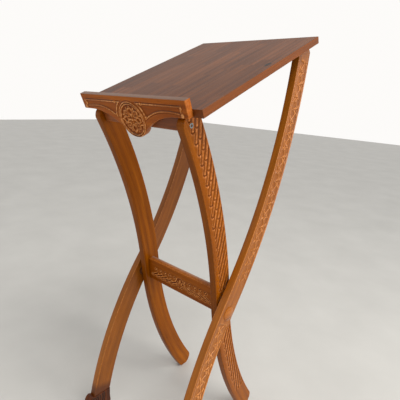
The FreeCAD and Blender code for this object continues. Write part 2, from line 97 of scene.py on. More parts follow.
def desk_yz(u, v):
    """Point of the desk, from the crossing: u up its slope and v square to it."""
    return (DESK_Y + u * math.cos(TILT) - v * math.sin(TILT),
            DESK_Z + u * math.sin(TILT) + v * math.cos(TILT))


def desk_uv(y, z):
    """The opposite of desk_yz."""
    return ((y - DESK_Y) * math.cos(TILT) + (z - DESK_Z) * math.sin(TILT),
            -(y - DESK_Y) * math.sin(TILT) + (z - DESK_Z) * math.cos(TILT))


def lean_yz(f, up):
    """Point of the inner frame's cross bar, f backwards and up along the lean of the legs."""
    a = math.radians(LEAN_IN)
    return (f * math.cos(a) - up * math.sin(a), f * math.sin(a) + up * math.cos(a))


def last_inside(inside, w, s_in, s_out):
    """For each w, how far the leg goes from s_in towards s_out."""
    lo = np.full_like(w, s_in)
    hi = np.full_like(w, s_out)
    for _ in range(60):
        mid = (lo + hi) / 2.0
        ok = inside(mid, w)
        lo = np.where(ok, mid, lo)
        hi = np.where(ok, hi, mid)
    return lo


# ---------------------------------------------------------------- ends of the legs
def corner_centre(lean, w, v):
    """Centre of a rounded corner, w across the leg and v over the desk's zero."""
    at = np.array([w])
    s = last_inside(lambda q, ww: desk_uv(*leg_point(lean, q, ww))[1] < v, at, *UP_SPAN)
    y, z = leg_point(lean, s, at)
    return float(y[0]), float(z[0])


def top_end(lean, v_top, r_front, r_back):
    """Test for the upper end of a leg, cut parallel to the desk with rounded corners."""
    cuts = []
    for side, r in ((-1.0, r_front), (1.0, r_back)):
        if r:
            w0 = side * (HALF_W - r)
            cuts.append((side, w0, r, corner_centre(lean, w0, v_top - r)))

    def inside(s, w):
        y, z = leg_point(lean, s, w)
        v = desk_uv(y, z)[1]
        ok = v <= v_top
        for (side, w0, r, (cy, cz)) in cuts:
            corner = (side * (w - w0) > 0) & (v > v_top - r)
            ok &= ~corner | (np.hypot(y - cy, z - cz) <= r + TOLERANCE)
        return ok
    return inside


def above(lean, height):
    """Test for the part of a leg that is higher than this over the floor."""
    return lambda s, w: leg_point(lean, s, w)[1] >= height - CROSS_Z


HEEL_S = last_inside(above(LEAN_IN, HALF_W - HEEL_FLAT), np.zeros(1), *LOW_SPAN)
HEEL_Y, HEEL_Z = leg_point(LEAN_IN, HEEL_S, np.zeros(1))


def low_in(s, w):
    """Test for the lower end of an inner leg: round, and flat on the floor."""
    y, z = leg_point(LEAN_IN, s, w)
    heel = np.hypot(y - HEEL_Y, z - HEEL_Z) <= HALF_W + TOLERANCE
    return ((s >= HEEL_S) | heel) & (z >= -CROSS_Z)


low_out = above(LEAN_OUT, FOOT_H)
top_in = top_end(LEAN_IN, -DESK_T - HINGE_GAP, HINGE_R, TOP_R_IN)
top_out = top_end(LEAN_OUT, -DESK_T - TOP_GAP, 0.0, TOP_R_OUT)


# ---------------------------------------------------------------- mesh building
CREASE = math.radians(38.0)


def set_attributes(me, attrs):
    """Give the mesh's points a number or a vector each, for the materials."""
    for key, values in attrs.items():
        values = np.asarray(values, np.float32)
        vector = values.ndim == 2
        at = me.attributes.new(key, "FLOAT_VECTOR" if vector else "FLOAT", "POINT")
        at.data.foreach_set("vector" if vector else "value", values.ravel())


def add_mesh(name, verts, faces, attrs=None):
    """A closed mesh from millimetre coordinates."""
    me = bpy.data.meshes.new(name)
    me.from_pydata((np.asarray(verts) * MM).tolist(), [], faces)
    set_attributes(me, attrs or {})
    me.polygons.foreach_set("use_smooth", [True] * len(me.polygons))
    me.update()
    me.set_sharp_from_angle(angle=CREASE)
    ob = bpy.data.objects.new(name, me)
    bpy.context.scene.collection.objects.link(ob)
    return ob


def apply_modifier(ob, kind, **settings):
    """Run one modifier and keep its result as the object's mesh."""
    mod = ob.modifiers.new(kind, kind)
    for key, value in settings.items():
        setattr(mod, key, value)
    graph = bpy.context.evaluated_depsgraph_get()
    me = bpy.data.meshes.new_from_object(ob.evaluated_get(graph))
    ob.modifiers.clear()
    old, ob.data = ob.data, me
    bpy.data.meshes.remove(old)
    me.name = ob.name
    return me


def blurred(a, n):
    """Box average over n rows and columns to each side."""
    width = 2 * n + 1
    for axis in (0, 1):
        pad = [(n, n) if q == axis else (0, 0) for q in (0, 1)]
        wide = np.pad(a, pad, mode="edge")
        count = a.shape[axis]
        a = sum(np.take(wide, range(q, q + count), axis) for q in range(width)) / float(width)
    return a


def hollow_and_ridge(depth, n):
    """How far each point lies below or above its surroundings, for the painted shade in the
    carving's hollows and the painted highlights on its ridges.
    """
    d = depth - blurred(depth, n)
    ridge = np.clip(-d, 0.0, None) ** 1.5 * 1.3
    return np.clip(d, 0.0, None) + 0.10 * np.clip(depth, 0.0, None), np.clip(ridge, 0.0, 1.0)


def zipper(a, b, wa, wb):
    """Triangles between two chains of points ordered by w."""
    out, i, j = [], 0, 0
    while i < len(a) - 1 or j < len(b) - 1:
        if j == len(b) - 1 or (i < len(a) - 1 and wa[i + 1] <= wb[j + 1]):
            out.append((a[i], a[i + 1], b[j]))
            i += 1
        else:
            out.append((a[i], b[j + 1], b[j]))
            j += 1
    return out


# ---------------------------------------------------------------- legs
FACE_COLS, BACK_COLS = 40, 17          # columns over the carved face and over the plain one
STEP = 1.55                            # rows along the leg
END_ROWS = (0.0, 0.3, 0.9, 1.7, 3.0)   # rows near each end, where its arris is rounded
BOW = 3                                # points in a rounded arris, between its ends
# strength of the painted highlight along a leg's rounded arrises
ARRIS_SHINE = 0.12


def leg_section():
    """Outline of a leg's section as w and x: carved face first, from front to back."""
    flat, cut = HALF_W - EDGE_R, HALF_T - EDGE_R
    quarter = [math.pi / 2.0 * (q + 1) / (BOW + 1) for q in range(BOW)]
    bow = [(flat + EDGE_R * math.sin(a), cut + EDGE_R * math.cos(a)) for a in quarter]
    ring = [(w, HALF_T) for w in np.linspace(-flat, flat, FACE_COLS)]
    ring += bow + [(HALF_W, cut), (HALF_W, -cut)] + [(w, -x) for (w, x) in reversed(bow)]
    ring += [(flat * math.sin(a), -HALF_T)
             for a in np.linspace(math.pi / 2, -math.pi / 2, BACK_COLS)]
    ring += [(-w, -x) for (w, x) in bow] + [(-HALF_W, -cut), (-HALF_W, cut)]
    ring += [(-w, x) for (w, x) in reversed(bow)]
    return np.array(ring).T


def carved_leg(name, lean, sgn, x_in, top, low, carve, front_shine):
    """A leg swept along its curve, with rounded arrises and closed ends."""
    w, x = leg_section()
    k, f = len(w), FACE_COLS
    hi = last_inside(top, w, *UP_SPAN)
    lo = last_inside(low, w, *LOW_SPAN)
    count = int((hi.mean() - lo.mean()) / STEP)
    near = np.array(END_ROWS)[:, None]
    t = np.linspace(0.0, 1.0, count + 2)[1:-1, None]
    a, b = lo + END_ROWS[-1], hi - END_ROWS[-1]
    s = np.vstack([lo + near, a + (b - a) * t, hi - near[::-1]])
    ww = np.broadcast_to(w, s.shape)
    y, z = leg_point(lean, s, ww)
    d = np.minimum(s - lo, hi - s)
    xx = np.sign(x) * np.minimum(np.abs(x), HALF_T - rounding(d, EDGE_R))

    depth = carve(s[:, :f], ww[:, :f], y[:, :f], z[:, :f])
    off_arris = smooth((HALF_W - EDGE_R + 0.3 - np.abs(ww[:, :f])) / 1.6)
    depth = depth * (off_arris * smooth((d[:, :f] - 3.0) / 3.0))
    xx[:, :f] = np.minimum(xx[:, :f], HALF_T - depth)
    verts = np.stack([sgn * (x_in + HALF_T + xx), y + CROSS_Y, z + CROSS_Z], -1).reshape(-1, 3)

    cav, edge = np.zeros_like(s), np.zeros_like(s)
    cav[:, :f], edge[:, :f] = hollow_and_ridge(depth, 3)
    edge[:, :f] *= np.where(s[:, :f] < 0, 1.7, 1.0)     # brighter painted highlights below the crossing
    plain_bow = k - 2 * BOW - 2                          # front arris on the plain side
    # painted highlights along the rounded arrises
    edge[:, f:f + BOW] = ARRIS_SHINE
    edge[:, -BOW:] = edge[:, plain_bow:plain_bow + BOW] = front_shine

    faces = []
    for i in range(len(s) - 1):
        for j in range(k):
            p, q = i * k + j, i * k + (j + 1) % k
            faces.append((p, q, q + k, p + k))
    outer = [*range(k - BOW - 1, k), *range(f + BOW + 1)]
    inner = list(range(k - BOW - 2, f + BOW, -1))
    caps = zipper(outer, inner, w[outer], w[inner])
    last = (len(s) - 1) * k
    faces += [(last + p, last + q, last + r) for (p, q, r) in caps]
    faces += [(r, q, p) for (p, q, r) in caps]
    if sgn < 0:
        faces = [tuple(reversed(q)) for q in faces]
    wood_at = np.stack([s, ww, xx], -1).reshape(-1, 3) * MM
    return add_mesh(name, verts, faces,
                    attrs={"wood": wood_at, "cav": cav.ravel(), "edge": edge.ravel()})


# ---------------------------------------------------------------- carving
def pillow(d, half, depth):
    """Depth under the face of a rounded cushion: 0 at its crown, full at its edge (d = 0)."""
    return depth * (1.0 - np.clip(d / half, 0.0, 1.0)) ** 1.9


def rows_near(p, at, reach):
    """Slice of the rows of p that come within reach of a place, or None."""
    rows = np.where(np.abs(p[:, p.shape[1] // 2] - at) < reach)[0]
    return slice(rows[0], rows[-1] + 1) if len(rows) else None


def leaf(p, q, depth, at, ang, ln, wd, base, bend=0.0, rib=0.5, top=0.0):
    """Raise one pointed leaf with a midrib out of ground sunk by base."""
    rows = rows_near(p, at[0], ln + 16.0)
    if rows is None:
        return
    dx, dy = p[rows] - at[0], q[rows] - at[1]
    ca, sa = math.cos(math.radians(ang)), math.sin(math.radians(ang))
    a = dx * ca + dy * sa
    c = -dx * sa + dy * ca
    t = np.clip(a / ln, 0.0, 1.0)
    c = c - bend * ln * t * t
    d = 0.5 * wd * np.sin(math.pi * t ** 0.8) ** 0.75 - np.abs(c)
    z = top + pillow(d, 0.42 * wd, base - top) + rib * line_groove(c, 0.8) * smooth(t * 6.0)
    part = depth[rows]
    hit = (d > 0) & (a > 0) & (a < ln)
    part[hit] = np.minimum(part[hit], z[hit])


def bud(p, q, depth, at, r, base, top=0.0):
    """Raise a small round boss out of ground sunk by base."""
    rows = rows_near(p, at[0], r + 14.0)
    if rows is None:
        return
    d = r - np.hypot(p[rows] - at[0], q[rows] - at[1])
    part = depth[rows]
    hit = d > 0
    part[hit] = np.minimum(part[hit], (top + pillow(d, r * 0.9, base - top))[hit])


ROPE_ANGLE, ROPE_PITCH, ROPE_DEPTH = 27.0, 28.0, 2.3
ROPE_FRONT, ROPE_FRONT_TOP, ROPE_FRONT_LOW = -17.0, -9.0, -16.0     # front limit of the leaves
ROPE_NARROWS, ROPE_NARROW = 190.0, 340.0
ROPE_LAID = 215.0                      # above this the leaves lie over each other in two rows
ROPE_ROW = 8.0                         # where the second row has its tips
ROPE_END = -425.0
PLAIN_LOW, PLAIN_HIGH = -72.0, 30.0    # heights between which the crossing stays plain
BORDER_CUT, DOT_CUT = 1.6, 1.6
# a row of drilled dots in front of the leaves
DOTS, DOT_S, DOT_PITCH, DOT_W, DOT_R = 5, 48.0, 24.0, -21.5, 2.6


def inner_carving(s, w, y, z):
    """Slanting overlapped leaves along the back part of the inner leg."""
    b = math.radians(ROPE_ANGLE)
    half = ROPE_PITCH * math.sin(b) / 2.0
    narrow = smooth((s - ROPE_NARROWS) / (ROPE_NARROW - ROPE_NARROWS))
    w_front = ROPE_FRONT + (ROPE_FRONT_TOP - ROPE_FRONT) * narrow
    w_front = np.where(s < 0, ROPE_FRONT_LOW, w_front)
    k = np.floor((s - w / math.tan(b)) / ROPE_PITCH)
    s_k = (k + 0.5) * ROPE_PITCH + w_front / math.tan(b)
    along = (s - s_k) * math.cos(b) + (w - w_front) * math.sin(b)
    c = -(s - s_k) * math.sin(b) + (w - w_front) * math.cos(b)

    def inside_leaf(tip):
        """Distance from the edge of a leaf whose round tip is at this place along it."""
        round_tip = half - np.hypot(tip + half - along, c)
        return np.where(along < tip + half, round_tip, half - np.abs(c))

    d = inside_leaf(0.0)
    depth = np.where(d > 0, pillow(d, half * 0.95, ROPE_DEPTH),
                     ROPE_DEPTH * np.clip(1.0 + d / 1.5, 0.0, 1.0))
    depth += np.where(d > 1.0, 0.55 * line_groove(c - 1.6, 0.8) * smooth(along / 8.0), 0.0)
    notch = (ROPE_ROW - w_front) / math.sin(b)
    d2 = inside_leaf(notch)
    under = 0.85 * ROPE_DEPTH * line_groove(np.minimum(d2, 0.0), 1.6)
    second = np.where(along > notch, pillow(np.maximum(d2, 0.0), half * 0.95, ROPE_DEPTH), depth)
    laid = np.where((d2 <= 0) & (along < notch + half), np.maximum(depth, under), second)
    depth = np.where(s > ROPE_LAID, laid, depth * smooth((w - w_front) / 4.0))
    depth = depth * np.where(s > 0, smooth((z - PLAIN_HIGH) / 1.6),
                             smooth((PLAIN_LOW - z) / 1.6) * smooth((s - ROPE_END) / 2.0))
    border = sum(BORDER_CUT * line_groove(z - at, 1.1)
                 for at in (PLAIN_HIGH + 0.5, PLAIN_LOW - 0.5))
    depth = np.maximum(depth, np.where(w > w_front, border, 0.0))
    for q in range(DOTS):
        off = np.hypot(s - (DOT_S + DOT_PITCH * q), w - DOT_W)
        depth = np.maximum(depth, DOT_CUT * smooth(1.0 - off / DOT_R))
    return depth


VINE_PITCH, VINE_SINK = 70.0, 2.3
VINE_TOP, VINE_LOW = 712.0, -395.0
VINE_START_UP, VINE_START_LOW = 42.0, -62.0
VINE_FRONT, VINE_BACK = -19.0, 26.0    # the sunk band, across the leg
VINE_MID, VINE_SWING, STEM_HALF = 3.5, 9.5, 1.9
# leaves at each bend of the stem: along, across, angle, length, width
VINE_LEAVES = ((-14, -2, -38, 17, 7.5), (-7, -4, -62, 14, 7.0), (3, -5, -96, 13, 6.5),
               (10, -3, -132, 13, 6.0), (4, 3, 12, 16, 6.0), (-4, 3, 150, 15, 5.5))
VINE_BUDS = ((-1.0, -19.5, 2.8), (14.0, 7.0, 2.4))      # along, across, radius


def outer_carving(s, w, y, z):
    """A running vine with leaves at its bends on the outer leg."""
    upper = smooth((s - VINE_START_UP) / 30.0) * smooth((VINE_TOP - s) / 3.0)
    lower = smooth((VINE_START_LOW - s) / 3.0) * smooth((s - VINE_LOW) / 3.0)
    sink = VINE_SINK * (0.62 + 0.38 * smooth((np.abs(s) - 90.0) / 140.0))
    base = sink.max()
    depth = base * smooth(np.minimum(w - VINE_FRONT, VINE_BACK - w) / 1.8)
    stem = VINE_MID + VINE_SWING * np.sin(2.0 * math.pi * s / VINE_PITCH)
    d = STEM_HALF - np.abs(w - stem)
    depth = np.where(d > 0, np.minimum(depth, pillow(d, STEM_HALF, base)), depth)
    turns = int(VINE_TOP / VINE_PITCH) + 1
    for k in range(-turns, turns + 1):
        for bend, side in ((0.25, 1.0), (0.75, -1.0)):
            s0 = (k + bend) * VINE_PITCH
            w0 = VINE_MID + VINE_SWING * side
            if not VINE_LOW - 25.0 < s0 < VINE_TOP + 10.0:
                continue
            for (ds, dw, ang, ln, wd) in VINE_LEAVES:
                leaf(s, w, depth, (s0 + ds, w0 + side * dw), side * ang, ln, wd, base,
                     bend=0.12 * side, rib=0.35)
            for (ds, dw, r) in VINE_BUDS:
                bud(s, w, depth, (s0 + ds, w0 + side * dw), r, base)
    return depth * np.maximum(upper, lower) * sink / base


# ---------------------------------------------------------------- carved slabs
RIM_ROWS = (0.0, 0.25, 0.7, 1.3, 2.0, 2.9)      # rows near an edge, where its arris is rounded
SLAB_EDGE, SLAB_BACK = 2.0, 1.0                 # front arrises and back chamfers


def slab(name, xs, low, top, rows, thick, height, place, spread, shine=None):
    """A board with a carved front: columns at xs, rows between its lower and upper contour."""
    near = np.array(RIM_ROWS)
    lo, hi = low(xs)[:, None], top(xs)[:, None]
    a, b = lo + near[-1], hi - near[-1]
    t = np.linspace(0.0, 1.0, rows + 2)[1:-1]
    v = np.hstack([lo + near, a + (b - a) * t, hi - near[::-1]])
    x = np.broadcast_to(xs[:, None], v.shape)
    slope = np.gradient(lo[:, 0], xs)[:, None]
    d = np.minimum((v - lo) / np.sqrt(1.0 + slope ** 2), hi - v)
    d = np.minimum(d, np.minimum(x - xs[0], xs[-1] - x))
    rise = height(x, v)
    rise_in = rise * smooth(d / 2.2) - rounding(d, SLAB_EDGE)
    front = np.stack(place(x, v, -thick - rise_in), -1).reshape(-1, 3)

    # the edges run from the front's border to a chamfered back
    nx, nv = v.shape
    border = [(i, 0) for i in range(nx)] + [(nx - 1, j) for j in range(1, nv)]
    border += [(i, nv - 1) for i in range(nx - 2, -1, -1)] + [(0, j) for j in range(nv - 2, 0, -1)]
    bx = np.array([x[p] for p in border])
    bv = np.array([v[p] for p in border])
    blo, bhi = (np.interp(bx, xs, h[:, 0]) for h in (lo, hi))
    ix = bx + SLAB_BACK * (xs[-1] + xs[0] - 2.0 * bx) / (xs[-1] - xs[0])
    iv = bv + SLAB_BACK * (bhi + blo - 2.0 * bv) / (bhi - blo)
    wall = np.stack(place(bx, bv, np.full_like(bx, -SLAB_BACK)), -1)
    rear = np.stack(place(ix, iv, np.zeros_like(ix)), -1)
    verts = np.vstack([front, wall, rear])

    faces = []
    for i in range(nx - 1):
        for j in range(nv - 1):
            p = i * nv + j
            faces.append((p, p + nv, p + nv + 1, p + 1))
    n0, m = nx * nv, len(border)
    ids = [i * nv + j for (i, j) in border]
    for q in range(m):
        r = (q + 1) % m
        faces.append((ids[r], ids[q], n0 + q, n0 + r))
        faces.append((n0 + r, n0 + q, n0 + m + q, n0 + m + r))
    back = {p: n0 + m + q for q, p in enumerate(border)}
    for i in range(1, nx - 2):
        faces.append((back[(i + 1, 0)], back[(i, 0)], back[(i, nv - 1)], back[(i + 1, nv - 1)]))
    faces.append([back[(1, 0)]] + [back[(0, j)] for j in range(nv)] + [back[(1, nv - 1)]])
    faces.append([back[(nx - 1, j)] for j in range(nv - 1, 0, -1)]
                 + [back[(nx - 1, 0)], back[(nx - 2, 0)], back[(nx - 2, nv - 1)]])

    # painted shade in the hollows, painted highlights on ridges, arrises and edges
    hollow, ridge = hollow_and_ridge(-rise, spread)
    if shine is not None:
        ridge = np.maximum(ridge, shine(x, v))
    cav = np.concatenate([hollow.ravel(), np.zeros(2 * m)])
    edge = np.maximum(ridge, 0.15 * smooth(1.6 - d)).ravel()
    edge = np.concatenate([edge, np.full(2 * m, 0.1)])
    wood_at = np.vstack([np.stack([x, v, rise_in], -1).reshape(-1, 3),
                         np.stack([bx, bv, np.full_like(bx, -thick)], -1),
                         np.stack([ix, iv, np.full_like(ix, -thick)], -1)]) * MM
    return add_mesh(name, verts, faces, attrs={"wood": wood_at, "cav": cav, "edge": edge})


def bead(d, half, rise):
    """Profile of a half-round moulding."""
    return rise * np.sqrt(np.maximum(1.0 - (d / half) ** 2, 0.0))


def polar(r, degrees):
    """Place at radius r in this direction."""
    th = math.radians(degrees)
    return r * math.cos(th), r * math.sin(th)


# ---------------------------------------------------------------- ledge and its boss
JOIN_X = 40.5                          # where the apron's curve meets the roundel
PANEL_TOP, PANEL_END, PANEL_R, PANEL_SINK = 8.0, 166.0, 57.0, 1.5
PANEL_LOW, ARCH_X, ARCH_DROP = -2.0, 126.0, 26.0
BEAD_HALF, BEAD_RISE, QUIRK = 1.6, 1.2, 4.2
# lobes where the mouldings stop: place, radius, height, and how much flatter than round
LOBES = ((170.5, -8.8, 5.2, 2.4, 0.9), (169.5, 7.0, 2.6, 1.8, 0.6), (46.0, 9.2, 3.2, 1.9, 1.0),
         (53.0, -21.5, 2.8, 1.8, 1.0))
BOSS_V, BOSS_R = -32.3, 44.7           # centre and radius of the boss's carving
RIM_R, GROOVE_R = 47.4, 48.7           # radii from here on are for a boss of ROUNDEL_R
RIMS = ((45.4, 1.2, 1.4), (40.9, 1.15, 1.3))            # radius, half width, height
RIM_GROOVE = (41.9, 44.4)
FIELD_SINK, FIELD_R = 2.4, 39.6
# leaves in each quarter of the field: turn, radius, length, width, bend
FIELD_LEAVES = ((0.0, 15.0, 21.0, 9.0, 0.0), (26.0, 19.0, 18.0, 7.0, 0.18),
                (-26.0, 19.0, 18.0, 7.0, -0.18))
RIBBON_R, RIBBON_SWING, RIBBON_HALF, RIBBON_LOOPS = 22.0, 8.5, 2.7, 4.0
HUB_R = 4.6


def ledge_low(x):
    """Lower contour of the ledge: a smooth curve from each end to the roundel in its middle."""
    ax = np.abs(x)
    disc = ROUNDEL_V - np.sqrt(np.maximum(ROUNDEL_R ** 2 - ax ** 2, 0.0))
    join_v = ROUNDEL_V - math.sqrt(ROUNDEL_R ** 2 - JOIN_X ** 2)
    px = np.array([JOIN_X, 66.0, 88.0, 118.0, LEDGE_W / 2.0 - 33.0, LEDGE_W / 2.0])
    pv = np.array([join_v, -38.0, -27.0, -18.0, LEDGE_END, LEDGE_END])
    m = np.gradient(pv, px)
    m[-2:] = 0.0
    m[0] = 0.75
    k = np.clip(np.searchsorted(px, ax) - 1, 0, len(px) - 2)
    h = px[k + 1] - px[k]
    t = np.clip((ax - px[k]) / h, 0.0, 1.0)
    arch = ((2 * t ** 3 - 3 * t ** 2 + 1) * pv[k] + (t ** 3 - 2 * t ** 2 + t) * h * m[k]
            + (-2 * t ** 3 + 3 * t ** 2) * pv[k + 1] + (t ** 3 - t ** 2) * h * m[k + 1])
    return np.where(ax < JOIN_X, disc, arch)


def ledge_shine(x, v):
    """Painted highlights on the lobes."""
    out = np.zeros_like(x)
    for (lx, lv, rad, _, flat) in LOBES:
        d = np.hypot(np.abs(x) - lx, (v - lv) * flat)
        out = np.maximum(out, smooth((rad - d) / (0.5 * rad)))
    return out


def ledge_panels(ax, v, r):
    """Height of the panels on both sides of the boss, with their beads and lobes."""
    arch = ARCH_DROP * np.clip((ARCH_X - ax) / 79.0, 0.0, 2.0) ** 2.2
    low = PANEL_LOW - np.where(ax < ARCH_X, arch, 3.0 * ((ax - ARCH_X) / 40.0) ** 2)
    inside = np.minimum(np.minimum(PANEL_TOP - v, (v - low) * 0.93),
                        np.minimum(PANEL_END - ax, r - PANEL_R))
    out = -PANEL_SINK * smooth(inside / 1.2)
    out += bead(inside + BEAD_HALF, BEAD_HALF, BEAD_RISE)
    out -= 1.1 * line_groove(inside + QUIRK, 0.9)
    for (lx, lv, rad, rise, flat) in LOBES:
        d = np.hypot(ax - lx, (v - lv) * flat)
        lobe = np.maximum(out * smooth((d - rad) / 1.4), bead(d, rad, rise))
        out = np.where(d < rad + 1.4, lobe, out)
    return out


def boss_field(x, u, r, field):
    """Depth within the boss's rims: leaves and buds in four quarters under a knotted ribbon."""
    for quarter in (0.0, 90.0, 180.0, 270.0):
        for (turn, r0, ln, wd, bend) in FIELD_LEAVES:
            leaf(x, u, field, polar(r0, quarter + 45.0 + turn * 0.6), quarter + 45.0 + turn,
                 ln, wd, FIELD_SINK, bend=bend, rib=0.9, top=-0.4)
        bud(x, u, field, polar(35.0, quarter), 3.6, FIELD_SINK)
        leaf(x, u, field, polar(4.0, quarter), quarter, 13.0, 7.0, FIELD_SINK, rib=0.7)
    th = np.arctan2(u, x)
    for wave in (1.0, -1.0):
        mid = RIBBON_R + RIBBON_SWING * wave * np.cos(RIBBON_LOOPS * th)
        turn = RIBBON_SWING * RIBBON_LOOPS * np.abs(np.sin(RIBBON_LOOPS * th))
        d = RIBBON_HALF - np.abs(r - mid) / np.sqrt(1.0 + (turn / np.maximum(r, 6.0)) ** 2)
        z = (pillow(d, 1.6, FIELD_SINK) - 0.5 + 0.9 * line_groove(d - RIBBON_HALF, 0.7)
             + 0.125 * wave * np.cos(2.0 * RIBBON_LOOPS * th))
        field = np.where(d > 0, np.minimum(field, z), field)
    hub = pillow(HUB_R - r, 4.4, FIELD_SINK) - 0.7
    return np.where(r < HUB_R, np.minimum(field, hub), field)


def ledge_relief(x, v):
    """Height over the face: sunk panels in beaded frames, and the boss with two rims."""
    r = np.hypot(x, v - BOSS_V) * ROUNDEL_R / BOSS_R
    out = ledge_panels(np.abs(x), v, r)
    rim = sum(bead(r - at, half, rise) for (at, half, rise) in RIMS)
    rim -= 0.9 * smooth((RIM_GROOVE[1] - r) / 0.6) * smooth((r - RIM_GROOVE[0]) / 0.6)
    rim = np.where(r < FIELD_R, -FIELD_SINK * smooth((FIELD_R - r) / 1.3), rim)
    out = np.where(r < RIM_R, rim, out - 1.2 * line_groove(r - GROOVE_R, 0.9))
    field = boss_field(x, (v - BOSS_V) * ROUNDEL_R / BOSS_R, r, -out)
    return np.where(r < FIELD_R, -field, out)


# ---------------------------------------------------------------- stretcher
STR_MID, STR_SINK = -9.0, 2.4
BRANCH_FROM, BRANCH_PITCH, BRANCH_COUNT, BRANCH_RISE = 45.0, 21.0, 5, 24.0
CRESCENT, CRESCENT_BOW, CRESCENT_HALF, CRESCENT_CUT = 36.0, 3.2, 3.3, 4.2
CRESCENT_FOOT = -15.0
CURLS = ((-24.0, 9.0, 4.2), (-6.0, -17.0, 3.6))         # along, up, radius
CORE_W, CORE_H = 17.0, 20.0
PALM_LEAVES = ((90.0, 30.0), (118.0, 25.0), (62.0, 25.0), (148.0, 19.0), (32.0, 19.0))
PALM_BUDS = ((-8.5, -13.5), (8.5, -13.5), (0.0, -19.0))


def stretcher_relief(x, v):
    """Two branches of slanting crescents with curled ends that meet at a palmette."""
    v = v - STR_MID
    a = math.radians(BRANCH_RISE)
    hx = np.abs(x)
    depth = np.zeros_like(x)
    for k in range(BRANCH_COUNT):
        px = BRANCH_FROM + BRANCH_PITCH * k
        dx, dv = px - hx, v - CRESCENT_FOOT
        along = dx * math.cos(a) + dv * math.sin(a)
        arch = np.sin(math.pi * np.clip(along / CRESCENT, 0.0, 1.0))
        bow = -dx * math.sin(a) + dv * math.cos(a) + CRESCENT_BOW * arch
        lens = CRESCENT_HALF * arch ** 0.7
        cut = np.clip(1.0 - np.abs(bow) / np.maximum(lens, 0.05), 0.0, 1.0) ** 0.7
        depth = np.maximum(depth, CRESCENT_CUT * cut * (lens > 0.05))
        thin = 1.9 * line_groove(bow + 5.4, 1.1)
        ends = smooth(along / 8.0) * smooth((CRESCENT - 2.0 - along) / 8.0)
        depth = np.maximum(depth, thin * ends)
        for (cx, cv, r) in CURLS:
            d = np.hypot(hx - px - cx, v - cv)
            depth = np.maximum(depth, 2.2 * line_groove(d - r, 1.1))
    core = np.hypot(x / CORE_W, (v + 2.0) / CORE_H)
    sunk = np.maximum(depth, STR_SINK * smooth((1.0 - core) * 6.0))
    depth = np.where(core < 1.0, sunk, depth)
    for (ang, ln) in PALM_LEAVES:
        leaf(x, v, depth, (0.0, -16.0), ang, ln, 7.5, STR_SINK, rib=0.9, top=-0.4)
    for at in PALM_BUDS:
        bud(x, v, depth, at, 3.0, STR_SINK, top=-0.7)
    return -depth


# ---------------------------------------------------------------- paw feet
PAW_GRID = 1.35
PAW_SIDE = 0.6                         # the smoothed block starts this much inside its width
PAW_TOP = 94.0
TUFTS, TUFT_R, TUFT_PITCH = 4, 16.0, 8.5
SCROLL_Z, SCROLL_R, EYE_R = 72.0, 9.5, 3.6


def paw_block(name, sgn, x_mid, f, b):
    """Side view of the foot between the leg's front edge f and back edge b, as a thick plate."""
    outline = [(b - 0.5, FOOT_H), (b - 0.5, 62), (b + 2.0, 40), (b + 1.5, 22), (b - 3, 8),
               (b - 12, 1.5), (b - 30, 0.0), (f + 20, 0.0), (f - 4, 0.0), (f - 24, 0.5),
               (f - 33.5, 6), (f - 36.5, 16), (f - 34.0, 28), (f - 27, 36.5), (f - 21, 42),
               (f - 18.5, 50), (f - 21.5, 60), (f - 22.6, 70), (f - 20.5, 81), (f - 13.5, 90),
               (f - 6.0, 93.0), (f + 0.5, FOOT_H)]
    n = len(outline)
    half = FOOT_W / 2.0 - PAW_SIDE
    verts = [(sgn * (x_mid + h), y, z) for h in (-half, half) for (y, z) in outline]
    faces = [tuple(range(n)), tuple(range(2 * n - 1, n - 1, -1))]
    faces += [(q, n + q, n + (q + 1) % n, (q + 1) % n) for q in range(n)]
    if sgn > 0:
        faces = [tuple(reversed(q)) for q in faces]
    return add_mesh(name, verts, faces)


def carve_paw(h, y, z, f):
    """Cut toes, claws, tufts and a scroll, with painted shade in each cut: h across the foot, f the
    front edge of the leg.
    """
    half = FOOT_W / 2.0
    cav = np.zeros(len(h))
    # two clefts part three toes
    cleft = np.minimum(np.abs(h - half / 3.0), np.abs(h + half / 3.0))
    front = smooth((f - 6.0 - y) / 8.0) * smooth((62.0 - z) / 14.0)
    split = line_groove(cleft, 1.5) * front
    y = y + 5.5 * split
    cav += 2.2 * split
    # a step over each claw
    nail = line_groove(z - (13.0 + 0.25 * (f - y)), 1.6)
    nail = nail * smooth((f - 20.0 - y) / 4.0) * smooth((20.0 - z) / 6.0)
    y += 1.6 * nail
    cav += 1.4 * nail
    # curved grooves behind the knuckle
    side = smooth((np.abs(h) - half + 4.5) / 3.0)
    for q in range(TUFTS):
        arc = np.hypot(y - f + 2.0, (z - 70.0) * 0.85) - (TUFT_R + TUFT_PITCH * q)
        g = line_groove(arc, 1.5) * side * smooth((y - f + 16.0) / 6.0)
        g *= smooth((86.0 - z) / 5.0) * smooth((z - 6.0) / 6.0)
        h = h - np.sign(h) * 1.5 * g
        cav += 1.5 * g
    # a scroll with an eye on the knuckle
    scroll = np.hypot(y - f + 2.5, z - SCROLL_Z)
    for (r, width, cut, dark) in ((SCROLL_R, 1.3, 1.3, 1.4), (EYE_R, 1.0, 0.8, 0.8)):
        g = line_groove(scroll - r, width) * side
        h = h - np.sign(h) * cut * g
        cav += dark * g
    return np.clip(h, -half, half), y, cav


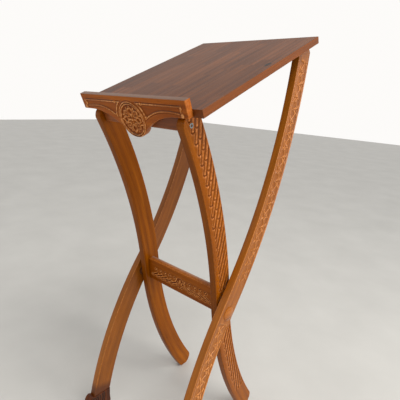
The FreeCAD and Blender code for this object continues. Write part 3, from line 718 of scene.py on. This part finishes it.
def paw(name, sgn):
    """A carved paw under the outer leg: ankle, knuckle roll, three toes and a heel pad."""
    w = np.array([-HALF_W, HALF_W])
    edges = leg_point(LEAN_OUT, last_inside(low_out, w, *LOW_SPAN), w)[0] + CROSS_Y
    f, b = (float(q) for q in edges)
    x_mid = OUT_X + HALF_T
    ob = paw_block(name, sgn, x_mid, f, b)
    apply_modifier(ob, "REMESH", mode="VOXEL", voxel_size=PAW_GRID * MM, use_smooth_shade=True)
    me = apply_modifier(ob, "SMOOTH", factor=0.6, iterations=9)
    co = np.zeros(len(me.vertices) * 3)
    me.vertices.foreach_get("co", co)
    x, y, z = co.reshape(-1, 3).T / MM
    h, y, cav = carve_paw(sgn * x - x_mid, y, z, f)
    z = np.clip(z, 0.0, PAW_TOP)
    co = np.stack([sgn * (x_mid + h), y, z], -1) * MM
    me.vertices.foreach_set("co", co.ravel())
    wood_at = np.stack([z, y, h], -1) * MM
    set_attributes(me, {"cav": cav, "edge": np.zeros(len(h)), "wood": wood_at})
    me.polygons.foreach_set("use_smooth", [True] * len(me.polygons))
    me.update()
    return ob


# ---------------------------------------------------------------- materials
def linear(r, g, b):
    """Shader colour of an sRGB colour in 0 to 255."""
    out = []
    for c in (r, g, b):
        c /= 255.0
        out.append(c / 12.92 if c <= 0.04045 else ((c + 0.055) / 1.055) ** 2.4)
    return (*out, 1.0)


class Nodes:
    """Short hand for a material's node tree."""

    def __init__(self, name):
        self.mat = bpy.data.materials.new(name)
        self.mat.use_nodes = True
        self.tree = self.mat.node_tree
        self.bsdf = self.tree.nodes["Principled BSDF"]

    def add(self, kind, **settings):
        n = self.tree.nodes.new(kind)
        for key, value in settings.items():
            setattr(n, key, value)
        return n

    def link(self, a, b):
        self.tree.links.new(a, b)

    def coord(self, output):
        return self.add("ShaderNodeTexCoord").outputs[output]

    def attribute(self, name, output="Fac"):
        return self.add("ShaderNodeAttribute", attribute_name=name).outputs[output]

    def split(self, vector):
        n = self.add("ShaderNodeSeparateXYZ")
        self.link(vector, n.inputs[0])
        return n.outputs

    def mapping(self, vector, scale, rotation=(0, 0, 0), location=(0, 0, 0)):
        m = self.add("ShaderNodeMapping")
        m.inputs["Scale"].default_value = scale
        m.inputs["Rotation"].default_value = rotation
        m.inputs["Location"].default_value = location
        self.link(vector, m.inputs["Vector"])
        return m.outputs["Vector"]

    def noise(self, vector, scale=1.0, detail=4.0, rough=0.55, distort=0.0):
        n = self.add("ShaderNodeTexNoise")
        n.inputs["Scale"].default_value = scale
        n.inputs["Detail"].default_value = detail
        n.inputs["Roughness"].default_value = rough
        n.inputs["Distortion"].default_value = distort
        self.link(vector, n.inputs["Vector"])
        return n.outputs["Fac"]

    def ramp(self, fac, stops):
        n = self.add("ShaderNodeValToRGB")
        el = n.color_ramp.elements
        while len(el) < len(stops):
            el.new(0.5)
        for e, (pos, colour) in zip(el, stops):
            e.position = pos
            e.color = colour
        self.link(fac, n.inputs["Fac"])
        return n.outputs["Color"]

    def grey(self, fac, stops):
        return self.ramp(fac, [(p, (v, v, v, 1.0)) for (p, v) in stops])

    def feed(self, sockets, values):
        """Link or set each socket; None leaves it as it is."""
        for sock, val in zip(sockets, values):
            if isinstance(val, (int, float, tuple)):
                sock.default_value = val
            elif val is not None:
                self.link(val, sock)

    def math(self, op, a, b=None, clamp=False):
        n = self.add("ShaderNodeMath", operation=op, use_clamp=clamp)
        self.feed(n.inputs, (a, b))
        return n.outputs[0]

    def mix(self, fac, a, b, blend="MIX"):
        n = self.add("ShaderNodeMix", data_type="RGBA", blend_type=blend)
        self.feed((n.inputs[0], n.inputs[6], n.inputs[7]), (fac, a, b))
        return n.outputs[2]

    def bump(self, height, strength, distance):
        n = self.add("ShaderNodeBump")
        n.inputs["Strength"].default_value = strength
        n.inputs["Distance"].default_value = distance
        self.link(height, n.inputs["Height"])
        self.link(n.outputs["Normal"], self.bsdf.inputs["Normal"])


STAVE_W, STAVE_L = 0.0385, 0.27        # m
SEAM, SEAM_COLOUR = 0.022, (48, 26, 14)
KNOT_COLOUR, FOOT_FADE_COLOUR = (26, 14, 8), (88, 40, 10)
CAV_DEPTH = 1.1                        # mm of hollow that takes the full painted shade
TENTHS = 10.0                          # a ramp runs from 0 to 1: depths go in as tenths of a metre


def stave_grain(g, vec, knots):
    """A board glued up from strips: shifted grain, a tone for each piece, and marks on it."""
    run, across = g.split(vec)[:2]
    strip_at = g.math("DIVIDE", across, STAVE_W)
    strip = g.math("FLOOR", strip_at)
    jitter = g.add("ShaderNodeTexWhiteNoise", noise_dimensions="1D")
    g.link(strip, jitter.inputs["W"])
    shift = g.math("MULTIPLY", jitter.outputs["Value"], 0.9)
    piece = g.math("FLOOR", g.math("DIVIDE", g.math("ADD", run, shift), STAVE_L))
    comb = g.add("ShaderNodeCombineXYZ")
    g.feed(comb.inputs, (strip, piece))
    cell = g.add("ShaderNodeTexWhiteNoise", noise_dimensions="3D")
    g.link(comb.outputs[0], cell.inputs["Vector"])
    off = g.add("ShaderNodeVectorMath", operation="SCALE")
    g.link(cell.outputs["Color"], off.inputs[0])
    off.inputs["Scale"].default_value = 3.0
    grain = g.add("ShaderNodeVectorMath", operation="ADD")
    g.feed(grain.inputs, (vec, off.outputs[0]))
    marks = [(g.math("LESS_THAN", g.math("FRACT", strip_at), SEAM), 0.35, SEAM_COLOUR)]
    for (kx, ky) in knots:
        dx = g.math("MULTIPLY", g.math("SUBTRACT", run, kx), 0.55)
        far = g.math("ADD", g.math("POWER", dx, 2.0),
                     g.math("POWER", g.math("SUBTRACT", across, ky), 2.0))
        centimetres = g.math("MULTIPLY", g.math("SQRT", far), 100.0)
        marks.append((g.grey(centimetres, [(0.55, 1.0), (0.85, 0.0)]), 0.95, KNOT_COLOUR))
    return grain.outputs[0], cell.outputs["Value"], marks


def desk_facing(g):
    """Cosine between the surface and the desk's face."""
    dot = g.add("ShaderNodeVectorMath", operation="DOT_PRODUCT")
    g.feed(dot.inputs, (g.coord("Normal"), (0.0, -math.sin(TILT), math.cos(TILT))))
    return dot.outputs["Value"]


def wood(name, dark, mid, light, own=True, seed=0.0, rotation=(0, 0, 0), origin=None,
         rough=0.36, coat=0.05, spec=0.25, staved=False, knots=(), streaky=0.25,
         hollow_shade=0.85, hollow_shade_colour=(76, 32, 6), glow=None, shine=0.85,
         foot_fade=None, up_sheen_colour=None, sheen_from=None, side_tint=None):
    """Lacquered wood with growth bands, fibres and pores along the first texture axis."""
    g = Nodes(name)
    vec = g.attribute("wood", "Vector") if own else g.coord("Object")
    vec = g.mapping(vec, (1, 1, 1), rotation, origin or (seed, seed * 0.37, seed * 0.71))
    grain, tone, marks = stave_grain(g, vec, knots) if staved else (vec, None, ())

    warp = g.noise(g.mapping(grain, (2.2, 9.0, 9.0)), 1.0, 3.0, 0.5, 0.4)
    wave = g.add("ShaderNodeTexWave", wave_type="BANDS", bands_direction="Y", wave_profile="SIN")
    wave.inputs["Scale"].default_value = 15.0
    wave.inputs["Distortion"].default_value = 7.0
    wave.inputs["Detail"].default_value = 3.0
    wave.inputs["Detail Scale"].default_value = 0.7
    wave.inputs["Detail Roughness"].default_value = 0.6
    g.link(g.mapping(grain, (0.22, 1.0, 1.0)), wave.inputs["Vector"])
    fibre = g.noise(g.mapping(grain, (9.0, 240.0, 240.0)), 1.0, 5.0, 0.6, 0.2)
    fine, broad, thin = (90.0, 0.20, 0.68) if staved else (60.0, 0.48, 0.40)
    streak = g.noise(g.mapping(grain, (3.0, fine, fine)), 1.0, 4.0, 0.6, 0.3)
    pore = g.noise(g.mapping(grain, (55.0, 900.0, 900.0)), 1.0, 2.0, 0.5, 0.0)
    fac = g.math("ADD", g.math("MULTIPLY", wave.outputs["Fac"], 0.12),
                 g.math("ADD", g.math("MULTIPLY", warp, broad), g.math("MULTIPLY", streak, thin)))
    if tone is not None:
        fac = g.math("ADD", g.math("MULTIPLY", fac, 0.76), g.math("MULTIPLY", tone, 0.24))
    col = g.ramp(fac, [(0.28, linear(*dark)), (0.50, linear(*mid)), (0.72, linear(*light))])
    col = g.mix(0.55, col, g.grey(fibre, [(0.30, 0.66), (0.62, 1.12)]), "MULTIPLY")
    col = g.mix(streaky, col, g.grey(streak, [(0.34, 0.72), (0.60, 1.12)]), "MULTIPLY")
    col = g.mix(0.5, col, g.grey(pore, [(0.28, 0.35), (0.40, 1.0)]), "MULTIPLY")
    for (mask, strength, colour) in marks:
        col = g.mix(g.math("MULTIPLY", mask, strength), col, linear(*colour))

    if own:                # painted shade in the hollows of the carving, painted highlights on its ridges
        deep = g.math("DIVIDE", g.attribute("cav"), CAV_DEPTH, clamp=True)
        col = g.mix(g.math("MULTIPLY", deep, hollow_shade, clamp=True), col, linear(*hollow_shade_colour))
        # painted glints on ridges and arrises, broken up by noise
        spark = g.grey(g.noise(vec, 170.0, 2.0), [(0.40, 0.3), (0.60, 1.0)])
        painted_glint = g.math("MULTIPLY", g.attribute("edge"), spark)
        col = g.mix(g.math("MULTIPLY", painted_glint, shine, clamp=True), col, linear(*(glow or light)))
    if foot_fade:              # darker towards the foot
        along = g.math("ADD", g.split(g.attribute("wood", "Vector"))["X"], 1.0)
        low = g.grey(along, [(1.0 + foot_fade[0] * MM, 0.8), (1.0 + foot_fade[1] * MM, 0.0)])
        col = g.mix(low, col, linear(*FOOT_FADE_COLOUR))
    if up_sheen_colour:          # painted grey reflection on faces that look up
        lie = g.grey(desk_facing(g), [(0.6, 0.0), (0.9, 0.9)])
        if sheen_from:      # only along the back arris, as a thin painted reflection line
            back = g.math("MULTIPLY", g.split(g.attribute("wood", "Vector"))["Z"], -TENTHS)
            lie = g.math("MULTIPLY", lie, g.grey(back, [(sheen_from * MM * TENTHS, 0.0),
                                                        (STR_T * MM * TENTHS, 1.0)]))
        sheen_grain = g.grey(streak, [(0.3, 0.7), (0.7, 1.2)])
        col = g.mix(lie, col, g.mix(0.6, linear(*up_sheen_colour), sheen_grain, "MULTIPLY"))
    if side_tint:          # edges of the board are warmer than its face
        lie = g.grey(g.math("ABSOLUTE", desk_facing(g)), [(0.5, 0.85), (0.8, 0.0)])
        fibres = g.grey(fibre, [(0.3, 0.7), (0.7, 1.25)])
        col = g.mix(lie, col, g.mix(0.7, linear(*side_tint), fibres, "MULTIPLY"))

    g.link(col, g.bsdf.inputs["Base Color"])
    g.link(g.math("ADD", rough - 0.06, g.math("MULTIPLY", fibre, 0.14)), g.bsdf.inputs["Roughness"])
    g.bsdf.inputs["IOR"].default_value = 1.5
    g.bsdf.inputs["Specular IOR Level"].default_value = spec
    g.bsdf.inputs["Coat Weight"].default_value = coat
    g.bsdf.inputs["Coat Roughness"].default_value = 0.16
    pores = g.grey(pore, [(0.30, 0.0), (0.42, 1.0)])
    g.bump(g.math("ADD", g.math("MULTIPLY", fibre, 0.5), g.math("MULTIPLY", pores, 0.7)),
           0.32, 0.00035)
    return g.mat


def metal(name, colour, rough):
    """Finely brushed metal."""
    g = Nodes(name)
    n = g.noise(g.mapping(g.coord("Object"), (60.0, 900.0, 900.0)), 1.0, 3.0, 0.6)
    g.link(g.mix(0.5, linear(*colour), g.grey(n, [(0.3, 0.75), (0.7, 1.1)]), "MULTIPLY"),
           g.bsdf.inputs["Base Color"])
    g.link(g.math("ADD", rough, g.math("MULTIPLY", n, 0.15)), g.bsdf.inputs["Roughness"])
    g.bsdf.inputs["Metallic"].default_value = 1.0
    g.bump(n, 0.12, 0.0001)
    return g.mat


def plain(name, colour, rough, grain):
    """Dull moulded or felted stuff."""
    g = Nodes(name)
    n = g.noise(g.mapping(g.coord("Object"), (grain, grain, grain)), 1.0, 4.0, 0.7)
    g.link(g.mix(0.6, linear(*colour), g.grey(n, [(0.3, 0.7), (0.7, 1.2)]), "MULTIPLY"),
           g.bsdf.inputs["Base Color"])
    g.bsdf.inputs["Roughness"].default_value = rough
    g.bump(n, 0.3, 0.0004)
    return g.mat


M_LEG_IN = wood("lacquered_leg_inner", (119, 58, 0), (142, 74, 0), (165, 92, 5), seed=0.31,
                spec=0.12, coat=0.02, glow=(212, 136, 78), hollow_shade=0.76, shine=1.05)
M_LEG_OUT = wood("lacquered_leg_outer", (128, 66, 6), (151, 84, 12), (173, 101, 24), seed=1.7,
                 spec=0.34, coat=0.02, glow=(226, 150, 84), hollow_shade=0.3, shine=0.7,
                 foot_fade=(-442.0, -422.0))
M_STR = wood("lacquered_stretcher", (128, 60, 0), (150, 76, 0), (172, 93, 6), seed=3.1,
             spec=0.12, coat=0.02, glow=(240, 160, 88), hollow_shade_colour=(98, 36, 2), shine=1.8,
             up_sheen_colour=(170, 140, 120), sheen_from=9.0)
M_LEDGE = wood("lacquered_ledge", (140, 65, 2), (165, 82, 4), (188, 102, 12), seed=5.3,
               spec=0.16, coat=0.02, glow=(250, 176, 108), hollow_shade=0.5, hollow_shade_colour=(98, 38, 4),
               shine=1.05, up_sheen_colour=(96, 74, 60))
BOARD_U, BOARD_V = desk_uv(-CROSS_Y, -CROSS_Z)          # the frame's zero, in the desk's axes
M_BOARD = wood("staved_board", (72, 36, 12), (92, 50, 20), (112, 64, 30), own=False,
               rotation=(-TILT, 0, -math.pi / 2), origin=(BOARD_U * MM, 0.0, BOARD_V * MM),
               rough=0.46, coat=0.0, spec=0.2, staved=True, knots=((0.278, -0.193),),
               streaky=0.8, side_tint=(122, 64, 20))
M_UNDER = wood("under_wood", (112, 56, 22), (142, 76, 32), (164, 94, 42), own=False, seed=2.2)
M_PAW = wood("stained_paw", (58, 24, 6), (84, 38, 10), (110, 54, 16), seed=4.4,
             rough=0.38, coat=0.06, spec=0.2, glow=(176, 92, 34), hollow_shade_colour=(30, 12, 4))
M_CAP = wood("turned_cap", (136, 70, 4), (158, 87, 8), (178, 104, 18), own=False, seed=6.1,
             rotation=(0, 0, math.pi / 2), rough=0.28, coat=0.2, spec=0.3)
M_DOWEL = wood("dowel_wood", (150, 108, 66), (180, 138, 90), (200, 162, 112), own=False,
               seed=7.7, rough=0.6, coat=0.0)
M_BOLT = metal("bolt_steel", (138, 140, 140), 0.34)
M_SCREW = metal("screw_steel", (178, 178, 174), 0.34)
M_BRASS = metal("insert_brass", (196, 160, 92), 0.36)
M_SPACER = plain("spacer_plastic", (88, 46, 16), 0.5, 900.0)
M_FELT = plain("felt", (72, 56, 44), 0.95, 2600.0)


# ---------------------------------------------------------------- pieces
def dress(ob, mat, body=None, stands_for=()):
    """Give a piece its material, and a new piece its place in the frame."""
    ob.data.materials.clear()
    ob.data.materials.append(mat)
    if body:
        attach(ob, body)
        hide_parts(*stands_for)


for side, sign in SIDES:
    dress(carved_leg("carved_inner_leg_" + side, LEAN_IN, sign, IN_X, top_in, low_in,
                     inner_carving, ARRIS_SHINE),
          M_LEG_IN, "inner_frame", ["inner_leg_" + side])
    dress(carved_leg("carved_outer_leg_" + side, LEAN_OUT, sign, OUT_X, top_out, low_out,
                     outer_carving, 0.6),
          M_LEG_OUT, "outer_frame", ["outer_leg_" + side])
    dress(paw("carved_paw_" + side, sign), M_PAW, "outer_frame", ["paw_foot_" + side])


def ledge_place(x, v, u):
    y, z = desk_yz(u, v)
    return x, y + CROSS_Y, z + CROSS_Z


def stretcher_place(x, v, f):
    y, z = lean_yz(STR_FRONT + STR_T + f, v)
    return x, y + CROSS_Y, z + CROSS_Z


def level(v):
    """A straight contour at v."""
    return lambda x: np.full_like(x, v)


# columns of the ledge: close over the boss and near the ends
half_ledge = LEDGE_W / 2.0
boss_xs = np.linspace(-52.0, 52.0, 150)
panel_xs = np.linspace(53.2, half_ledge - 3.0, 106)
end_xs = half_ledge - np.array([2.0, 1.2, 0.6, 0.2, 0.0])
ledge_xs = np.concatenate([-end_xs[::-1], -panel_xs[::-1], boss_xs, panel_xs, end_xs])
dress(slab("carved_ledge", ledge_xs, ledge_low, level(LEDGE_UP), 92, LEDGE_T,
           ledge_relief, ledge_place, 4, ledge_shine),
      M_LEDGE, "desk", ["ledge"])
dress(slab("carved_stretcher", np.linspace(-IN_X, IN_X, 250), level(STR_LOW), level(STR_HIGH), 66,
           STR_T, stretcher_relief, stretcher_place, 3),
      M_STR, "inner_frame", ["stretcher"])

CARRIED = (
    (M_BOARD, ("desk_board",)),
    (M_UNDER, ("top_rail", "hinge_batten", "stop_cleat_left", "stop_cleat_right")),
    (M_DOWEL, ("stretcher_dowels", "rail_dowels", "foot_dowels", "ledge_dowels")),
    (M_CAP, ("pivot_cap_left", "pivot_cap_right")),
    (M_BOLT, ("pivot_bolt_left", "pivot_bolt_right", "hinge_bolt_left", "hinge_bolt_right",
              "pivot_washers", "hinge_washers")),
    (M_SCREW, ("batten_screws", "cleat_screws")),
    (M_BRASS, ("pivot_inserts", "hinge_inserts")),
    (M_SPACER, ("pivot_spacers",)),
    (M_FELT, ("rest_pads",)),
)
for mat, names in CARRIED:
    for node in names:
        dress(NODES[node], mat)

# ---------------------------------------------------------------- stage, lights, camera
bpy.ops.mesh.primitive_plane_add(size=24.0, location=(0, 0, 0))
floor = bpy.context.object
floor.name = "floor"
g = Nodes("pale_floor")
cloud = g.noise(g.coord("Object"), 3.0, 3.0)
g.link(g.ramp(cloud, [(0.3, linear(186, 185, 181)), (0.7, linear(194, 193, 189))]),
       g.bsdf.inputs["Base Color"])
g.bsdf.inputs["Roughness"].default_value = 0.6
floor.data.materials.append(g.mat)

world = bpy.data.worlds.new("studio")
bpy.context.scene.world = world
world.use_nodes = True
sky = world.node_tree
glow = sky.nodes["Background"]
glow.inputs["Color"].default_value = (1.0, 0.985, 0.965, 1.0)
look = sky.nodes.new("ShaderNodeSeparateXYZ")
sky.links.new(sky.nodes.new("ShaderNodeTexCoord").outputs["Generated"], look.inputs[0])
fade = sky.nodes.new("ShaderNodeMapRange")      # bright behind the lectern, dimmer in front
sky.links.new(look.outputs["Y"], fade.inputs["Value"])
fade.inputs["From Min"].default_value, fade.inputs["From Max"].default_value = -0.9, 0.25
fade.inputs["To Min"].default_value, fade.inputs["To Max"].default_value = 0.50, 0.98
sky.links.new(fade.outputs["Result"], glow.inputs["Strength"])


def soft_light(name, at, aim, size, power, colour):
    data = bpy.data.lights.new(name, "AREA")
    data.shape, data.size, data.energy, data.color = "DISK", size, power, colour
    ob = bpy.data.objects.new(name, data)
    bpy.context.scene.collection.objects.link(ob)
    ob.location = at
    ob.rotation_euler = (Vector(aim) - Vector(at)).to_track_quat("-Z", "Y").to_euler()


soft_light("key", (1.5, -0.2, 3.3), (0.1, 0, 0.7), 1.3, 55.0, (1.0, 0.98, 0.95))
soft_light("side", (2.3, 0.25, 1.3), (0.0, 0, 0.8), 0.6, 18.5, (1.0, 0.96, 0.90))

CAM_YAW, CAM_PITCH, CAM_ROLL = (math.radians(q) for q in (40.0157, -15.6239, 3.5339))
CAM_AT = Vector((0.68788, -0.77635, 1.05045))
SENSOR, LENS = 36.0, 32.747
right = Vector((math.cos(CAM_YAW), math.sin(CAM_YAW), 0.0))
ahead = Vector((-math.sin(CAM_YAW) * math.cos(CAM_PITCH),
                math.cos(CAM_YAW) * math.cos(CAM_PITCH), math.sin(CAM_PITCH)))
up = right.cross(ahead)
cam_x = right * math.cos(CAM_ROLL) + up * math.sin(CAM_ROLL)
cam_y = up * math.cos(CAM_ROLL) - right * math.sin(CAM_ROLL)
cam = bpy.data.objects.new("camera", bpy.data.cameras.new("camera"))
bpy.context.scene.collection.objects.link(cam)
cam.data.sensor_width, cam.data.sensor_fit, cam.data.lens = SENSOR, "HORIZONTAL", LENS
turn = Matrix((cam_x, cam_y, -ahead)).transposed().to_4x4()
cam.matrix_world = Matrix.Translation(CAM_AT) @ turn
bpy.context.scene.camera = cam
bpy.context.scene.view_settings.view_transform = "Standard"
